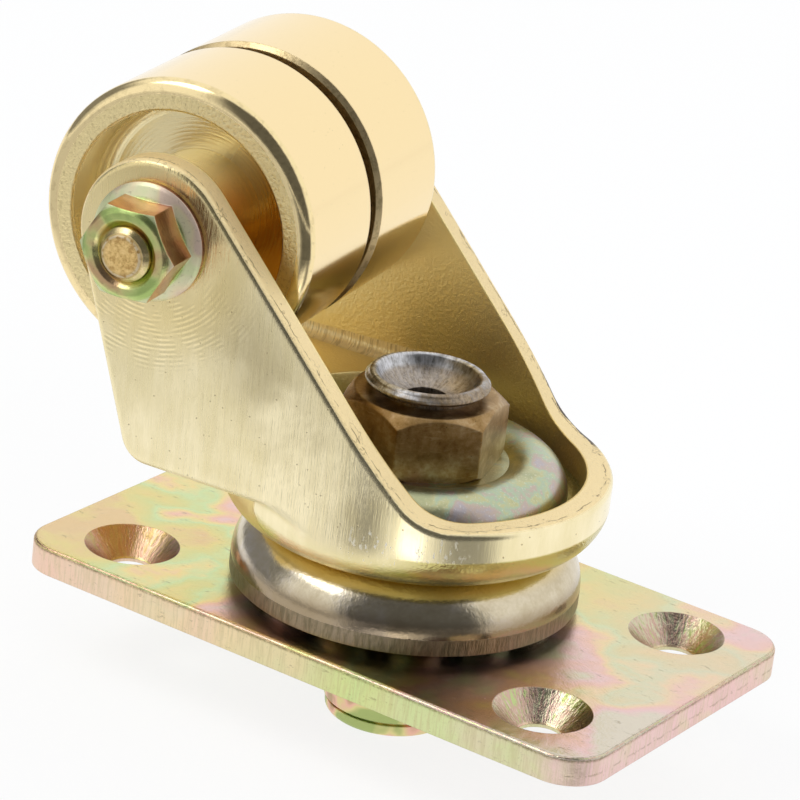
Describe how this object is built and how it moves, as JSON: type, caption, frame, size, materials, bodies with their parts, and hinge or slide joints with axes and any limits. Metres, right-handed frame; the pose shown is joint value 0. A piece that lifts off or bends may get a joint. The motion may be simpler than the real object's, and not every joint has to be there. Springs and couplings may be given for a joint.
{
  "type": "piano castor",
  "caption": "Swivelling twin-wheel piano castor: a brass-plated trailing fork turns on balls over a countersunk mounting plate.",
  "frame": {"origin": "centre of the mounting plate's flat face, on the swivel axis", "axes": "+Z from the plate to the wheels, as in the picture, so the castor is turned over in use; X along the plate; the fork trails towards -X, swivelled by 9.3 degrees"},
  "size_m": [0.1071, 0.0743, 0.097],
  "materials": {
    "plate_zinc": "yellow passivated zinc with green and pink tints",
    "kingpin_steel": "worn passivated steel",
    "nut_bronze": "dark oxidised bronze-brown",
    "washer_zinc": "pale green-silver zinc",
    "cup_steel": "silver-grey steel, worn",
    "fork_brass": "brass plated, polished, finely brushed",
    "wheel_brass": "brass plated, mirror polished",
    "bolt_zinc": "ochre passivated zinc",
    "axle_nut_zinc": "yellow passivated zinc, iridescent",
    "bare_steel": "bare steel",
    "ball_steel": "polished bearing steel"
  },
  "bodies": {
    "base": {"mounting_plate": "plate_zinc", "kingpin": "kingpin_steel", "kingpin_nut": "nut_bronze", "dome_washer": "washer_zinc"},
    "fork": {"fork": "fork_brass", "lower_race_cup": "cup_steel", "axle_bolt": "bolt_zinc", "axle_nut": "axle_nut_zinc", "axle_sleeve": "bare_steel", "near_hub_washer": "wheel_brass", "far_hub_washer": "wheel_brass", "centre_washer": "bare_steel"},
    "near_wheel": {"near_wheel": "wheel_brass"},
    "far_wheel": {"far_wheel": "wheel_brass"},
    "lower_balls": {"lower_ball_1": "ball_steel", "lower_ball_2": "ball_steel", "lower_ball_3": "ball_steel", "lower_ball_4": "ball_steel", "lower_ball_5": "ball_steel", "lower_ball_6": "ball_steel", "lower_ball_7": "ball_steel", "lower_ball_8": "ball_steel", "lower_ball_9": "ball_steel", "lower_ball_10": "ball_steel", "lower_ball_11": "ball_steel"},
    "upper_balls": {"upper_ball_1": "ball_steel", "upper_ball_2": "ball_steel", "upper_ball_3": "ball_steel", "upper_ball_4": "ball_steel", "upper_ball_5": "ball_steel", "upper_ball_6": "ball_steel", "upper_ball_7": "ball_steel", "upper_ball_8": "ball_steel", "upper_ball_9": "ball_steel", "upper_ball_10": "ball_steel", "upper_ball_11": "ball_steel", "upper_ball_12": "ball_steel", "upper_ball_13": "ball_steel", "upper_ball_14": "ball_steel", "upper_ball_15": "ball_steel"}
  },
  "joints": [
    {"name": "fork_swivel", "type": "hinge", "parent": "base", "child": "fork", "pos_m": [0, 0, 0.02], "axis": [0, 0, 1], "continuous": true},
    {"name": "near_wheel_spin", "type": "hinge", "parent": "fork", "child": "near_wheel", "pos_m": [-0.03217, -0.00527, 0.0598], "axis": [-0.1616, 0.9869, 0], "continuous": true},
    {"name": "far_wheel_spin", "type": "hinge", "parent": "fork", "child": "far_wheel", "pos_m": [-0.03217, -0.00527, 0.0598], "axis": [-0.1616, 0.9869, 0], "continuous": true},
    {"name": "lower_ball_orbit", "type": "hinge", "parent": "base", "child": "lower_balls", "pos_m": [0, 0, 0.0084], "axis": [0, 0, 1], "continuous": true},
    {"name": "upper_ball_orbit", "type": "hinge", "parent": "base", "child": "upper_balls", "pos_m": [0, 0, 0.0225], "axis": [0, 0, 1], "continuous": true}
  ],
  "couplings": [
    {"joint": "lower_ball_orbit", "follows": "fork_swivel", "ratio": 0.5},
    {"joint": "upper_ball_orbit", "follows": "fork_swivel", "ratio": 0.5}
  ]
}
